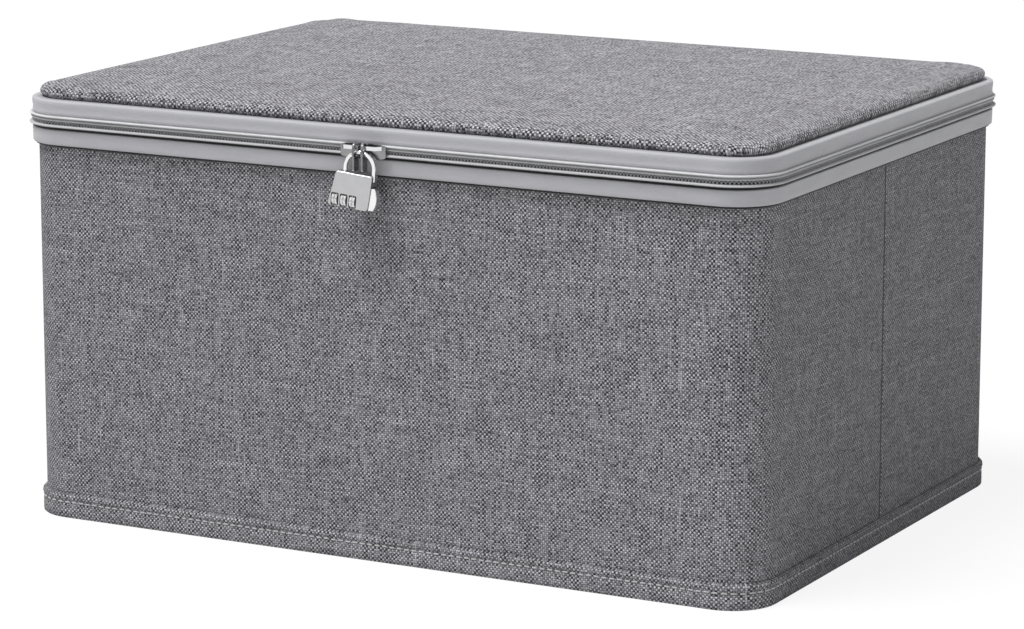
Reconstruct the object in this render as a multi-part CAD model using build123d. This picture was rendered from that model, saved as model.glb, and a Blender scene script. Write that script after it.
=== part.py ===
from build123d import *
import math
import os

# Lockable fabric storage box, all sizes in millimetres.
# Frame: +Z up, the front with the lock faces -Y, +X to the right seen from the front.
# The origin is the centre of the flat base, on the surface that the box stands on.

# Box walls, outer face of the fabric
box_length = 394.0
box_depth = 289.0
corner_radius = 21.0
wall_height = 196.95
parting_gap = 0.9
fabric_thickness = 1.2
board_thickness = 2.0
lining_thickness = 0.8
seam_gap = 0.4
cut_past = 1.0

# Base and the sewn rim round the foot
base_fabric_thickness = 1.0
base_board_thickness = 2.5
base_board_clearance = 0.2
foot_rim_height = 12.2
foot_rim_proud = 2.2
foot_rim_toe = 1.5
foot_rim_edge_radius = 0.8
foot_ridge_swell = 0.4
foot_stitch_height = 8.0
foot_stitch_depth = 0.5
foot_stitch_width = 0.9

# Ribbon bands that carry the zip, measured outwards from the wall face
band_proud = 3.0
lower_band_height = 8.9
lower_tape_height = 2.85
upper_tape_height = 2.75
upper_band_height = 7.2
band_edge_radius = 0.8

# Zip: two folded tapes with a coil behind each, seen from outside as two ridges
zip_proud = 4.5
tape_inner = 2.0
coil_outer = 2.6
coil_height = 1.3
ridge_overhang = 0.4
ridge_facets = 5
zip_return = 36.0
end_tab_length = 7.0
end_tab_thickness = 0.6

# Back hinge: a ribbon across the parting line
hinge_ribbon_thickness = 0.8
hinge_ribbon_overlap = 5.2

# Lid
pad_inset = 0.6
pad_seam_draw = 0.9
pad_edge_height = 6.0
pad_edge_radius = 4.2
pad_roll_angle = 80.0
pad_roll_steps = 3
pad_crown = 2.4
pad_crown_span = 60.0
pad_crown_steps = 3
cover_thickness = 0.8

# Zip sliders, one each side of the closing point
closure_x = -1.8
slider_gap = 1.6
slider_length = 11.2
slider_width = 7.4
slider_tail_width = 5.6
slider_shoulder = 6.2
slider_corner = 1.1
slider_clearance = 0.3
slider_plate = 0.8
slider_inner_plate = 1.0
slider_inner_proud = 0.5
slider_web_length = 4.4
slider_web_start = 1.4
slider_tail_taper = 0.4
crown_width = 1.8
crown_strap = 1.0
crown_leg = 0.7
crown_rise = 2.0
crown_corner = 0.4
crown_slope = 2.2
crown_tail_inset = 1.4
crown_tail_rise = 1.2
crown_tail_wall = 1.0
pivot_proud = 8.7

# Pull tabs that hang on the crowns
pull_thickness = 1.0
pull_eye_top = 1.25
pull_eye_low = 1.75
pull_rim_top = 1.0
pull_rim_low = 0.95
pull_tail_width = 4.4
pull_tail_corner = 1.2
pull_length = 11.0
pull_side_gap = 0.3
wire_drop = 2.6

# Padlock, drawn in its own upright frame and then leaned a little to the right.
# Its zero is the centre of the shackle's arch.
lock_lean = 5.0
wire_radius = 1.05
arch_radius = 7.6
case_top = -2.1
case_bottom = -18.9
case_top_left = -10.9
case_top_right = 8.6
case_bottom_left = -14.6
case_bottom_right = 6.9
case_half_depth = 3.2
case_corner = 1.4
case_edge = 0.6
leg_slot_clearance = 0.25
leg_slot_half_depth = 1.35
free_leg_end = -5.0
free_leg_slot_end = -5.4
free_leg_slot_inner = 5.85
pivot_drop = -4.6
pivot_eye_radius = 1.6
pivot_eye_thickness = 2.0
pivot_pocket_clearance = 0.3
pivot_pin_radius = 0.75
pivot_pin_clearance = 0.05
pivot_pin_seat = 1.2
release_angle = 25.0
notch_depth = 0.55
notch_height = 1.5
notch_low = -4.7

# Number dials
dial_count = 3
dial_radius = 3.7
dial_width = 2.7
dial_pitch = 4.75
first_dial_x = -10.6
dial_axis_z = -15.5
dial_window_gap = 0.25
dial_cavity_gap = 0.3
dial_flutes = 10
dial_flute_depth = 0.3
dial_flute_width = 0.9
spindle_radius = 1.0
spindle_running_gap = 0.05
spindle_wall = 1.5
detent_thickness = 0.3
detent_gap = 0.4
detent_half_depth = 1.2
detent_end_gap = 1.0

# Release button, its latch and spring
button_inner = 7.0
button_top = -7.8
button_low = -18.3
button_crown = 11.0
button_shoulder = 9.6
button_half_depth = 2.2
button_edge = 0.9
button_gap = 0.3
button_travel = 1.2
stem_half_height = 1.1
stem_z = -11.0
latch_outer = 5.0
latch_thickness = 1.1
latch_half_depth = 0.8
latch_low = -12.1
tooth_gap = 0.15
tooth_low = -4.35
tooth_height = 0.8
spring_z = -15.0
spring_radius = 0.8
spring_wire = 0.2
spring_start = 3.4
spring_turns = 3
spring_bore_gap = 0.2
rivet_radius = 0.7
rivet_blind_depth = 2.3
rivet_places = [(-3.0, -6.5), (3.6, -17.6)]

# Heights and places that follow from the sizes above
parting_high = wall_height + parting_gap
lower_band_top = wall_height - lower_tape_height
band_bottom = lower_band_top - lower_band_height
upper_band_bottom = parting_high + upper_tape_height
upper_band_top = upper_band_bottom + upper_band_height
hinge_ribbon_low = lower_band_top - hinge_ribbon_overlap
hinge_ribbon_high = upper_band_bottom + hinge_ribbon_overlap
zip_half_height = (parting_high + wall_height) / 2
crown_z = zip_half_height + crown_rise
crown_reach = pivot_proud + crown_strap / 2
pull_offset = slider_gap / 2 + crown_leg + pull_side_gap + pull_thickness / 2
arch_z = crown_z - wire_drop - math.sqrt(arch_radius**2 - pull_offset**2)
tooth_reach = arch_radius - wire_radius - tooth_gap
pivot_y = -(box_depth / 2 + pivot_proud)


def rounded_plate(length, depth, radius, low, high):
    """A flat plate with round corners between two heights."""
    return Pos(0, 0, low) * extrude(RectangleRounded(length, depth, radius), high - low)


def wall_plate(inset, low, high):
    """A plate whose outline lies a given distance inside the wall face."""
    return rounded_plate(box_length - 2 * inset, box_depth - 2 * inset, corner_radius - inset, low, high)


def wall_ring(outer_inset, inner_inset, low, high):
    """A ring that follows the walls between two distances from the wall face."""
    return wall_plate(outer_inset, low, high) - wall_plate(inner_inset, low, high)


def half_wall(ring, side):
    """The front (-1) or back (+1) half of a ring, short of the side seams by half the seam gap."""
    reach = box_depth
    middle = side * (reach + seam_gap) / 2
    return ring & (Pos(0, middle, 0) * Box(2 * box_length, reach, 4 * wall_height))


def around_box(profile):
    """Sweep a section (distance out, height) once round the wall face."""
    path = RectangleRounded(box_length, box_depth, corner_radius).face().outer_wire()
    return sweep(section_at(path, profile), path)


def along_zip(profile):
    """Sweep a section along the zip: front, both sides and a short return at the back."""
    half_x = box_length / 2
    half_y = box_depth / 2
    start_x = half_x - corner_radius - zip_return
    side_y = half_y - corner_radius
    front_x = half_x - corner_radius
    corner = corner_radius * (1 - math.sqrt(0.5))
    right = [
        Line((start_x, half_y), (front_x, half_y)),
        ThreePointArc((front_x, half_y), (half_x - corner, half_y - corner), (half_x, side_y)),
        Line((half_x, side_y), (half_x, -side_y)),
        ThreePointArc((half_x, -side_y), (half_x - corner, corner - half_y), (front_x, -half_y)),
    ]
    left = [
        ThreePointArc((-front_x, -half_y), (corner - half_x, corner - half_y), (-half_x, -side_y)),
        Line((-half_x, -side_y), (-half_x, side_y)),
        ThreePointArc((-half_x, side_y), (corner - half_x, half_y - corner), (-front_x, half_y)),
        Line((-front_x, half_y), (-start_x, half_y)),
    ]
    path = Wire(right + [Line((front_x, -half_y), (-front_x, -half_y))] + left)
    return sweep(section_at(path, profile), path)


def section_at(path, profile):
    """Stand a closed (out, up) profile square to the start of a level path, facing outwards."""
    start = path @ 0
    tangent = path % 0
    outward = Vector(tangent.Y, -tangent.X, 0)
    if outward.dot(start) < 0:
        outward = -outward
    normal = outward.cross(Vector(0, 0, 1))
    return Plane(origin=start, x_dir=outward, z_dir=normal) * profile


def outline(points):
    """A flat face from corner points."""
    return make_face(Polyline(*points, close=True))


def upright(solid):
    """Turn a solid drawn as (across, up, towards the front) so that it stands facing the front."""
    return Rot(90, 0, 0) * solid


def block(x_low, x_high, y_low, y_high, z_low, z_high):
    """A plain block between two corners."""
    middle = ((x_low + x_high) / 2, (y_low + y_high) / 2, (z_low + z_high) / 2)
    return Pos(*middle) * Box(x_high - x_low, y_high - y_low, z_high - z_low)


def bar_x(radius, x_low, x_high, z):
    """A round bar along X in the lock's mid-plane."""
    return Pos((x_low + x_high) / 2, 0, z) * Rot(0, 90, 0) * Cylinder(radius, x_high - x_low)


def bar_y(radius, y_low, y_high, x, z):
    """A round bar along Y."""
    return Pos(x, (y_low + y_high) / 2, z) * Rot(90, 0, 0) * Cylinder(radius, y_high - y_low)


def hang_lock(solid):
    """Move a solid from the lock's own frame to where the lock hangs."""
    return Pos(closure_x, pivot_y, arch_z) * Rot(0, lock_lean, 0) * solid


# Box body

def base_fabric():
    return wall_plate(0, 0, base_fabric_thickness)


def base_board():
    low = base_fabric_thickness
    inset = fabric_thickness + board_thickness + base_board_clearance
    return wall_plate(inset, low, low + base_board_thickness)


def base_lining():
    low = base_fabric_thickness + base_board_thickness
    inset = fabric_thickness + board_thickness + base_board_clearance
    return wall_plate(inset, low, low + lining_thickness)


def foot_rim():
    """Folded binding round the foot, with a stitch groove under its top ridge."""
    stitch = foot_stitch_height
    side = foot_rim_proud - foot_ridge_swell
    edge = foot_rim_edge_radius
    ridge_low = stitch + foot_stitch_width
    ridge_high = foot_rim_height - edge
    points = [(0, 0), (foot_rim_toe, 0), (side, edge), (side, stitch - foot_stitch_width)]
    points += [(side - foot_stitch_depth, stitch), (side, ridge_low)]
    points += [(foot_rim_proud, (ridge_low + ridge_high) / 2), (side, ridge_high)]
    points += [(side - edge, foot_rim_height), (0, foot_rim_height)]
    return around_box(outline(points))


def wall_fabric(side):
    """Half of the outer fabric, a U that runs from side seam to side seam."""
    return half_wall(wall_ring(0, fabric_thickness, base_fabric_thickness, wall_height), side)


def wall_board(side):
    """Half of the stiff inner wall, bent round two corners."""
    inner = fabric_thickness + board_thickness
    return half_wall(wall_ring(fabric_thickness, inner, base_fabric_thickness, wall_height), side)


def wall_lining():
    outer = fabric_thickness + board_thickness
    low = base_fabric_thickness + base_board_thickness + lining_thickness
    return wall_ring(outer, outer + lining_thickness, low, wall_height)


def band(low, high, rounded_high):
    """Ribbon band round the outside, with one rounded long edge."""
    round_low = band_edge_radius if not rounded_high else 0
    round_high = band_edge_radius if rounded_high else 0
    points = [(0, low), (band_proud - round_low, low), (band_proud, low + round_low)]
    points += [(band_proud, high - round_high), (band_proud - round_high, high), (0, high)]
    section = outline(list(dict.fromkeys(points)))
    return around_box(section)


def lower_band():
    return band(band_bottom, lower_band_top, False)


def upper_band():
    return band(upper_band_bottom, upper_band_top, True)


def zip_section(edge, parting):
    """Folded tape between the band's edge and the parting line, its ridge bulging outwards."""
    way = 1 if parting > edge else -1
    low = edge + way * ridge_overhang
    lip = (coil_outer + zip_proud) / 2
    coil_edge = parting - way * coil_height
    ridge = ThreePointArc((band_proud, low), (zip_proud, (edge + parting) / 2), (lip, parting))
    points = [(tape_inner, edge), (band_proud, edge)]
    for step in range(ridge_facets + 1):
        spot = ridge @ (step / ridge_facets)
        points.append((spot.X, spot.Y))
    points += [(coil_outer, parting), (coil_outer, coil_edge), (tape_inner, coil_edge)]
    return outline(points)


def coil_section(parting, way):
    """Round-backed bead that stands for the coil in the angle of its tape."""
    far = parting - way * coil_height
    return outline([(tape_inner, parting), (coil_outer, parting), (coil_outer, far), (tape_inner, far)])


def lower_zip_tape():
    return along_zip(zip_section(lower_band_top, wall_height))


def upper_zip_tape():
    return along_zip(zip_section(upper_band_bottom, parting_high))


def lower_zip_coil():
    return along_zip(coil_section(wall_height, 1))


def upper_zip_coil():
    return along_zip(coil_section(parting_high, -1))


def hinge_half_length():
    return box_length / 2 - corner_radius - zip_return


def hinge_ribbon_lower():
    """Lower half of the hinge ribbon, sewn on the band and filling the slot beside the zip ends."""
    face = box_depth / 2 + band_proud
    half = hinge_half_length() - seam_gap
    ribbon = block(-half, half, face, face + hinge_ribbon_thickness, hinge_ribbon_low, wall_height)
    filler = block(-half, half, box_depth / 2, face, lower_band_top, wall_height)
    return ribbon + filler


def hinge_ribbon_upper():
    """Upper half of the hinge ribbon, on the lid."""
    face = box_depth / 2 + band_proud
    half = hinge_half_length() - seam_gap
    ribbon = block(-half, half, face, face + hinge_ribbon_thickness, parting_high, hinge_ribbon_high)
    filler = block(-half, half, box_depth / 2, face, parting_high, upper_band_bottom)
    return ribbon + filler


def zip_end_tabs():
    """Two fabric tabs sewn below the zip's ends on the back."""
    face = box_depth / 2 + band_proud
    start = hinge_half_length() + seam_gap
    right = block(start, start + end_tab_length, face, face + end_tab_thickness,
                  hinge_ribbon_low, lower_band_top)
    return [right, mirror(right, Plane.YZ)]


# Lid body

def lid_rim_board():
    """Stiff ring inside the upper band."""
    return wall_ring(fabric_thickness, fabric_thickness + board_thickness, parting_high, lid_board_low())


def lid_board_low():
    return upper_band_top - board_thickness


def lid_rim_fabric():
    """Fabric turned down between the upper band and the rim board."""
    return wall_ring(0, fabric_thickness, parting_high, lid_board_low())


def lid_board():
    return wall_plate(0, lid_board_low(), upper_band_top)


def lid_lining():
    """Shallow tray of lining inside the lid."""
    outer = fabric_thickness + board_thickness
    top = wall_plate(outer, lid_board_low() - lining_thickness, lid_board_low())
    skirt = wall_ring(outer, outer + lining_thickness, parting_high, lid_board_low() - lining_thickness)
    return top + skirt


def pad_sections(shrink):
    """(inset, height) of the pad's outlines, from the drawn-in seam over the rolled edge to the crown."""
    inset = pad_inset + shrink
    radius = pad_edge_radius - shrink
    base = pad_edge_height - pad_edge_radius
    sections = [(inset + pad_seam_draw, 0), (inset, base)]
    for step in range(1, pad_roll_steps + 1):
        turn = math.radians(pad_roll_angle * step / pad_roll_steps)
        sections.append((inset + radius * (1 - math.cos(turn)), base + radius * math.sin(turn)))
    edge_inset, edge_height = sections[-1]
    for step in range(1, pad_crown_steps + 1):
        share = step / pad_crown_steps
        rise = pad_crown * (1 - (1 - share) ** 2)
        sections.append((edge_inset + pad_crown_span * share, edge_height + rise))
    return sections


def pad_form(shrink):
    """Crowned pad with its sides drawn in to the seam, shrunk by a cover's thickness if asked."""
    outlines = []
    for inset, height in pad_sections(shrink):
        face = RectangleRounded(box_length - 2 * inset, box_depth - 2 * inset, corner_radius - pad_inset)
        outlines.append(Pos(0, 0, upper_band_top + height) * face)
    return loft(outlines, ruled=True)


def lid_pad():
    return pad_form(cover_thickness)


def lid_cover():
    return pad_form(0) - pad_form(cover_thickness)


# Sliders and pulls, drawn for the right-hand side and mirrored for the left

def to_side(solid, side):
    """Place a piece drawn from the closing point outwards on the right (1) or left (-1)."""
    piece = solid if side > 0 else mirror(solid, Plane.YZ)
    return Pos(closure_x, 0, 0) * piece


def proud(distance):
    """The Y of a point that stands a distance out from the front wall face."""
    return -(box_depth / 2 + distance)


def slider_outline(half_front, half_tail):
    """Plate outline, wide at the front end and narrow at the tail, drawn (along, up)."""
    start = slider_gap / 2
    shoulder = start + slider_shoulder
    end = start + slider_length
    points = [(start, -half_front), (shoulder, -half_front), (end, -half_tail)]
    points += [(end, half_tail), (shoulder, half_front), (start, half_front)]
    face = outline(points)
    return fillet(face.vertices(), slider_corner)


def slider_slab(face, near, far):
    """A plate from a (along, up) outline between two distances out from the wall."""
    return Pos(0, proud(near), zip_half_height) * upright(extrude(face, far - near))


def slider_body(side):
    """Front plate, thin web through the parting gap, inner plate and lower flange."""
    face_near = zip_proud + slider_clearance
    front = slider_slab(slider_outline(slider_width / 2, slider_tail_width / 2),
                        face_near, face_near + slider_plate)
    inner_half = min(zip_half_height - lower_band_top, upper_band_bottom - zip_half_height)
    inner_half = inner_half - slider_clearance
    inner = slider_slab(slider_outline(inner_half, inner_half - slider_tail_taper), slider_inner_proud,
                        slider_inner_proud + slider_inner_plate)
    web_half = parting_gap / 2 - slider_clearance
    start = slider_gap / 2 + slider_web_start
    web_proud = slider_inner_proud + slider_inner_plate / 2
    web = block(start, start + slider_web_length, proud(face_near), proud(web_proud),
                zip_half_height - web_half, zip_half_height + web_half)
    flange_top = lower_band_top + ridge_overhang / 2 - slider_clearance
    flange = block(start, slider_gap / 2 + slider_shoulder, proud(face_near),
                   proud(band_proud + slider_clearance), zip_half_height - slider_width / 2, flange_top)
    return to_side(front + inner + web + flange, side)


def slider_crown(side):
    """Bridge over the slider, the bar that the pull tab hangs on."""
    near = zip_proud + slider_clearance + slider_plate
    start = slider_gap / 2
    end = start + slider_length - crown_tail_inset
    tail = near + crown_tail_rise
    outer = outline([(start, near), (start, crown_reach - crown_corner), (start + crown_corner, crown_reach),
                     (end - crown_slope, crown_reach), (end, tail), (end, near)])
    leg = start + crown_leg
    under = crown_reach - crown_strap
    inner_end = end - crown_tail_wall
    inner = outline([(leg, near), (leg, under), (inner_end - crown_slope + crown_corner, under),
                     (inner_end, tail - crown_corner), (inner_end, near)])
    bridge = extrude(outer - inner, crown_width)
    bridge = Rot(180, 0, 0) * bridge
    return to_side(Pos(0, -box_depth / 2, crown_z + crown_width / 2) * bridge, side)


def pull_tab(side):
    """Pear-shaped eye round the crown and the shackle wire, with a tail below."""
    eye = pear(pull_eye_top, pull_eye_low)
    rim = pear(pull_eye_top + pull_rim_top, pull_eye_low + pull_rim_low)
    tail_height = pull_length - wire_drop
    tail = RectangleRounded(pull_tail_width, tail_height, pull_tail_corner)
    tail = Pos(0, -wire_drop - tail_height / 2) * tail
    face = (rim + tail) - eye
    plate = extrude(face, pull_thickness)
    stood = Rot(0, 0, 90) * Rot(90, 0, 0) * plate
    return to_side(Pos(pull_offset - pull_thickness / 2, pivot_y, crown_z) * stood, side)


def pear(top_radius, low_radius):
    """Face round two circles, one at zero and one a wire drop below."""
    lean = math.asin((low_radius - top_radius) / wire_drop)
    across = math.cos(lean)
    rise = math.sin(lean)
    points = [(top_radius * across, top_radius * rise), (low_radius * across, low_radius * rise - wire_drop)]
    points += [(-x, y) for x, y in reversed(points)]
    return Circle(top_radius) + Pos(0, -wire_drop) * Circle(low_radius) + outline(points)


# Padlock

def shackle():
    """Wire bow with a flat pivot eye on the left leg and a latch notch in the right leg."""
    path = Line((-arch_radius, pivot_drop), (-arch_radius, 0))
    path += ThreePointArc((-arch_radius, 0), (0, arch_radius), (arch_radius, 0))
    path += Line((arch_radius, 0), (arch_radius, free_leg_end))
    path = Rot(90, 0, 0) * path
    wire = sweep(Plane(origin=(-arch_radius, 0, pivot_drop), z_dir=(0, 0, 1)) * Circle(wire_radius), path)
    half = pivot_eye_thickness / 2
    eye = bar_y(pivot_eye_radius, -half, half, -arch_radius, pivot_drop)
    hole = bar_y(pivot_pin_radius + pivot_pin_clearance, -half - cut_past, half + cut_past,
                 -arch_radius, pivot_drop)
    inner = arch_radius - wire_radius
    across = wire_radius + cut_past
    notch = block(inner - cut_past, inner + notch_depth, -across, across, notch_low,
                  notch_low + notch_height)
    return hang_lock(wire + eye - hole - notch)


def case_outline():
    face = outline([(case_bottom_left, case_bottom), (case_bottom_right, case_bottom),
                    (case_top_right, case_top), (case_top_left, case_top)])
    return fillet(face.vertices(), case_corner)


def case_half(side):
    """Solid half of the case, front (-1) or back (1), with its outer edge rounded."""
    half = extrude(case_outline(), case_half_depth)
    half = fillet(half.faces().sort_by(Axis.Z)[-1].edges(), case_edge)
    half = upright(half)
    return half if side < 0 else mirror(half, Plane.XZ)


def dial_x(index):
    return first_dial_x + index * dial_pitch


def dial_windows():
    """Round pockets for the dials, open at the faces and at the bottom."""
    width = dial_width + 2 * dial_window_gap
    radius = dial_radius + dial_cavity_gap
    cuts = []
    for index in range(dial_count):
        low = dial_x(index) - width / 2
        cuts.append(bar_x(radius, low, low + width, dial_axis_z))
        cuts.append(block(low, low + width, -case_half_depth - cut_past, case_half_depth + cut_past,
                          case_bottom - cut_past, dial_axis_z))
    return cuts


def spindle_ends():
    left = first_dial_x - dial_width / 2 - spindle_wall
    right = dial_x(dial_count - 1) + dial_width / 2 + spindle_wall
    return left, right


def pivot_leg_slot():
    """Room for the left leg to lean as the case drops away from the shackle."""
    half = wire_radius + leg_slot_clearance
    depth = leg_slot_half_depth
    rise = case_top - pivot_drop + cut_past
    swing = math.radians(release_angle)
    lean = rise * math.tan(swing)
    edge = half / math.cos(swing)
    points = [(-arch_radius - edge, pivot_drop), (-arch_radius + half, pivot_drop),
              (-arch_radius + half, pivot_drop + rise), (-arch_radius - edge - lean, pivot_drop + rise)]
    wedge = Pos(0, depth, 0) * upright(extrude(outline(points), 2 * depth))
    radius = pivot_eye_radius + pivot_pocket_clearance
    pocket = bar_y(radius, -depth, depth, -arch_radius, pivot_drop)
    return [wedge, pocket]


def free_leg_slot():
    depth = leg_slot_half_depth
    return [block(free_leg_slot_inner, case_top_right + cut_past, -depth, depth, free_leg_slot_end,
                  case_top + cut_past)]


def latch_pockets():
    """Room for the button, its stem, the latch bar and the button spring."""
    gap = button_gap
    depth = button_half_depth + gap
    latch_inner = latch_outer - latch_thickness - button_travel - gap
    latch_depth = latch_half_depth + gap
    stem_low = stem_z - stem_half_height - gap
    stem_high = stem_z + stem_half_height + gap
    pocket_inner = button_inner - button_travel - gap
    return [
        block(pocket_inner, button_crown, -depth, depth, button_low - gap, button_top + gap),
        block(latch_inner, latch_outer + gap, -latch_depth, latch_depth,
              latch_low - gap, tooth_low + tooth_height + gap),
        block(latch_outer, pocket_inner + cut_past, -latch_depth, latch_depth, stem_low, stem_high),
        block(latch_outer, free_leg_slot_inner + cut_past, -latch_depth, latch_depth,
              tooth_low - gap, tooth_low + tooth_height + gap),
        bar_x(spring_radius + spring_wire + spring_bore_gap, spring_start, pocket_inner + cut_past, spring_z),
    ]


def detent_block():
    """Flat leaf over the dials."""
    low = dial_axis_z + dial_radius + detent_gap
    left, right = spindle_ends()
    half = detent_half_depth
    return block(left + detent_end_gap, right - detent_end_gap, -half, half, low, low + detent_thickness)


def rivets():
    shafts = []
    for x, z in rivet_places:
        shafts.append(bar_y(rivet_radius, -rivet_blind_depth, case_half_depth, x, z))
    return shafts


def pivot_pin():
    reach = leg_slot_half_depth + pivot_pin_seat
    return bar_y(pivot_pin_radius, -reach, reach, -arch_radius, pivot_drop)


def case_shell(side):
    """Half shell with everything that runs inside the lock cut out of it."""
    left, right = spindle_ends()
    shell = case_half(side)
    cuts = dial_windows() + pivot_leg_slot() + free_leg_slot() + latch_pockets() + rivets()
    cuts += [pivot_pin(), bar_x(spindle_radius, left, right, dial_axis_z), detent_block()]
    for cut in cuts:
        shell -= cut
    return hang_lock(shell)


def number_dial(index):
    """Fluted number wheel on the spindle."""
    face = Circle(dial_radius)
    for flute in range(dial_flutes):
        turn = 360 / dial_flutes * (flute + 0.5)
        past = dial_radius + cut_past
        groove = [(dial_radius - dial_flute_depth, 0), (past, dial_flute_width), (past, -dial_flute_width)]
        face -= Rot(0, 0, turn) * outline(groove)
    face -= Circle(spindle_radius + spindle_running_gap)
    wheel = extrude(face, dial_width)
    low = dial_x(index) - dial_width / 2
    return hang_lock(Pos(low, 0, dial_axis_z) * Rot(0, 90, 0) * wheel)


def dial_spindle():
    left, right = spindle_ends()
    return hang_lock(bar_x(spindle_radius, left, right, dial_axis_z))


def release_button():
    """Side button with a bulging outer face and a stem to the latch."""
    middle = (button_top + button_low) / 2
    with BuildSketch() as face:
        with BuildLine():
            Polyline((button_shoulder, button_low), (button_inner, button_low),
                     (button_inner, button_top), (button_shoulder, button_top))
            ThreePointArc((button_shoulder, button_top), (button_crown, middle),
                          (button_shoulder, button_low))
        make_face()
    pad = extrude(face.sketch, 2 * button_half_depth)
    rounded = pad.edges().group_by(Axis.X)[-1]
    pad = fillet(rounded, button_edge)
    pad = Pos(0, button_half_depth, 0) * upright(pad)
    half = latch_half_depth
    stem = block(latch_outer, button_inner, -half, half, stem_z - stem_half_height, stem_z + stem_half_height)
    return hang_lock(pad + stem)


def latch_bar():
    """Upright bar whose tooth sits in the notch of the free leg."""
    half = latch_half_depth
    top = tooth_low + tooth_height
    bar = block(latch_outer - latch_thickness, latch_outer, -half, half, latch_low, top)
    tooth = block(latch_outer, tooth_reach, -half, half, tooth_low, top)
    return hang_lock(bar + tooth)


def button_spring():
    """Return spring at its pressed length, seated at the end of its bore."""
    length = button_inner - button_travel - spring_start - 2 * spring_wire
    coil = Helix(pitch=length / spring_turns, height=length, radius=spring_radius)
    start = Plane(origin=coil @ 0, z_dir=coil % 0)
    wire = sweep(start * Rectangle(2 * spring_wire, 2 * spring_wire), coil, is_frenet=True)
    return hang_lock(Pos(spring_start + spring_wire, 0, spring_z) * Rot(0, 90, 0) * wire)


def detent_leaf():
    return hang_lock(detent_block())


def main():
    nodes = {
        "base_fabric": base_fabric(),
        "base_board": base_board(),
        "base_lining": base_lining(),
        "foot_rim": foot_rim(),
        "front_wall_fabric": wall_fabric(-1),
        "back_wall_fabric": wall_fabric(1),
        "front_wall_board": wall_board(-1),
        "back_wall_board": wall_board(1),
        "wall_lining": wall_lining(),
        "lower_band": lower_band(),
        "lower_zip_tape": lower_zip_tape(),
        "lower_zip_coil": lower_zip_coil(),
        "hinge_ribbon_lower": hinge_ribbon_lower(),
        "zip_end_tabs": Compound(children=zip_end_tabs()),
        "upper_band": upper_band(),
        "upper_zip_tape": upper_zip_tape(),
        "upper_zip_coil": upper_zip_coil(),
        "hinge_ribbon_upper": hinge_ribbon_upper(),
        "lid_rim_board": lid_rim_board(),
        "lid_rim_fabric": lid_rim_fabric(),
        "lid_board": lid_board(),
        "lid_lining": lid_lining(),
        "lid_pad": lid_pad(),
        "lid_cover": lid_cover(),
        "left_slider_body": slider_body(-1),
        "right_slider_body": slider_body(1),
        "left_slider_crown": slider_crown(-1),
        "right_slider_crown": slider_crown(1),
        "left_pull_tab": pull_tab(-1),
        "right_pull_tab": pull_tab(1),
        "shackle": shackle(),
        "lock_front_shell": case_shell(-1),
        "lock_back_shell": case_shell(1),
        "shackle_pivot_pin": hang_lock(pivot_pin()),
        "lock_rivets": Compound(children=[hang_lock(shaft) for shaft in rivets()]),
        "dial_spindle": dial_spindle(),
        "dial_detent_leaf": detent_leaf(),
        "release_button": release_button(),
        "latch_bar": latch_bar(),
        "button_spring": button_spring(),
    }
    for index in range(dial_count):
        nodes[f"number_dial_{index + 1}"] = number_dial(index)
    os.makedirs("parts", exist_ok=True)
    for name, shape in nodes.items():
        export_step(shape, f"parts/{name}.step")
    print(len(nodes), "nodes written")


main()
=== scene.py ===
# %% [markdown]
# # A lockable fabric storage box
# The solid model gives the exact sizes and the joints. This lesson dresses it as the real box is made:
# woven cloth over board, a ribbon band on each side of a zip, a soft padded lid, and a small number
# padlock through the pulls of the two zip sliders.

# %% Load the solid model
import bpy
import bmesh
import math
import random
from mathutils import Matrix, Vector


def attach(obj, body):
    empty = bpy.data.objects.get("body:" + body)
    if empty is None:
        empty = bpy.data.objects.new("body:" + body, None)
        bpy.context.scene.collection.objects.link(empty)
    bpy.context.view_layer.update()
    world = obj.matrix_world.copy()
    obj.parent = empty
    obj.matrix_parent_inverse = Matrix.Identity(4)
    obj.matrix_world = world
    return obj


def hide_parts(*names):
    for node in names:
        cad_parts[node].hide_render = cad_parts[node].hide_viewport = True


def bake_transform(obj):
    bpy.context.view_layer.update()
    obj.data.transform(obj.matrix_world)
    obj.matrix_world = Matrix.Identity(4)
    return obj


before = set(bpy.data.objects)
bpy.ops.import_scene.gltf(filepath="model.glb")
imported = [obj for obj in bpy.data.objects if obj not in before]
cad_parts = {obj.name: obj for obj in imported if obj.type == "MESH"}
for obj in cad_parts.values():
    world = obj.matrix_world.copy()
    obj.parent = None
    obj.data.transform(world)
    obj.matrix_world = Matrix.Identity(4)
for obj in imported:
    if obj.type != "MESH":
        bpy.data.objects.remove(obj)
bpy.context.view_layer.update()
print("nodes loaded:", len(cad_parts))

# %% [markdown]
# ## The camera
# The photograph was taken with a long lens from the front right, a little above the lid. A long lens
# keeps the edges nearly parallel, so the camera stands two metres away.

# %% Camera


def place_object(name, data):
    """Put an object with its data in the scene."""
    made = bpy.data.objects.new(name, data)
    bpy.context.scene.collection.objects.link(made)
    return made


camera_data = bpy.data.cameras.new("camera")
camera = place_object("camera", camera_data)
camera.location = (0.9354, -1.7566, 0.5065)
camera.rotation_euler = (1.3658, 0, 0.491)
camera_data.lens = 142.9
camera_data.sensor_width = 36
camera_data.clip_end = 50
bpy.context.scene.camera = camera

# %% [markdown]
# ## Sizes that the soft pieces share
# Every soft piece follows the same outline: the outer face of the walls, a rectangle with round
# corners. All lengths here are in millimetres, and a finished mesh is scaled to metres at the end.

# %% The box outline
HALF_X = 197.0
HALF_Y = 144.5
CORNER = 21.0
LID_TOP = 207.8
ZIP_RETURN = 36.0
CORNER_STEPS = 10
CORE_X = HALF_X - CORNER
CORE_Y = HALF_Y - CORNER
QUARTER = CORNER * math.pi / 2
PERIMETER = 4 * CORE_X + 4 * CORE_Y + 4 * QUARTER


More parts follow.
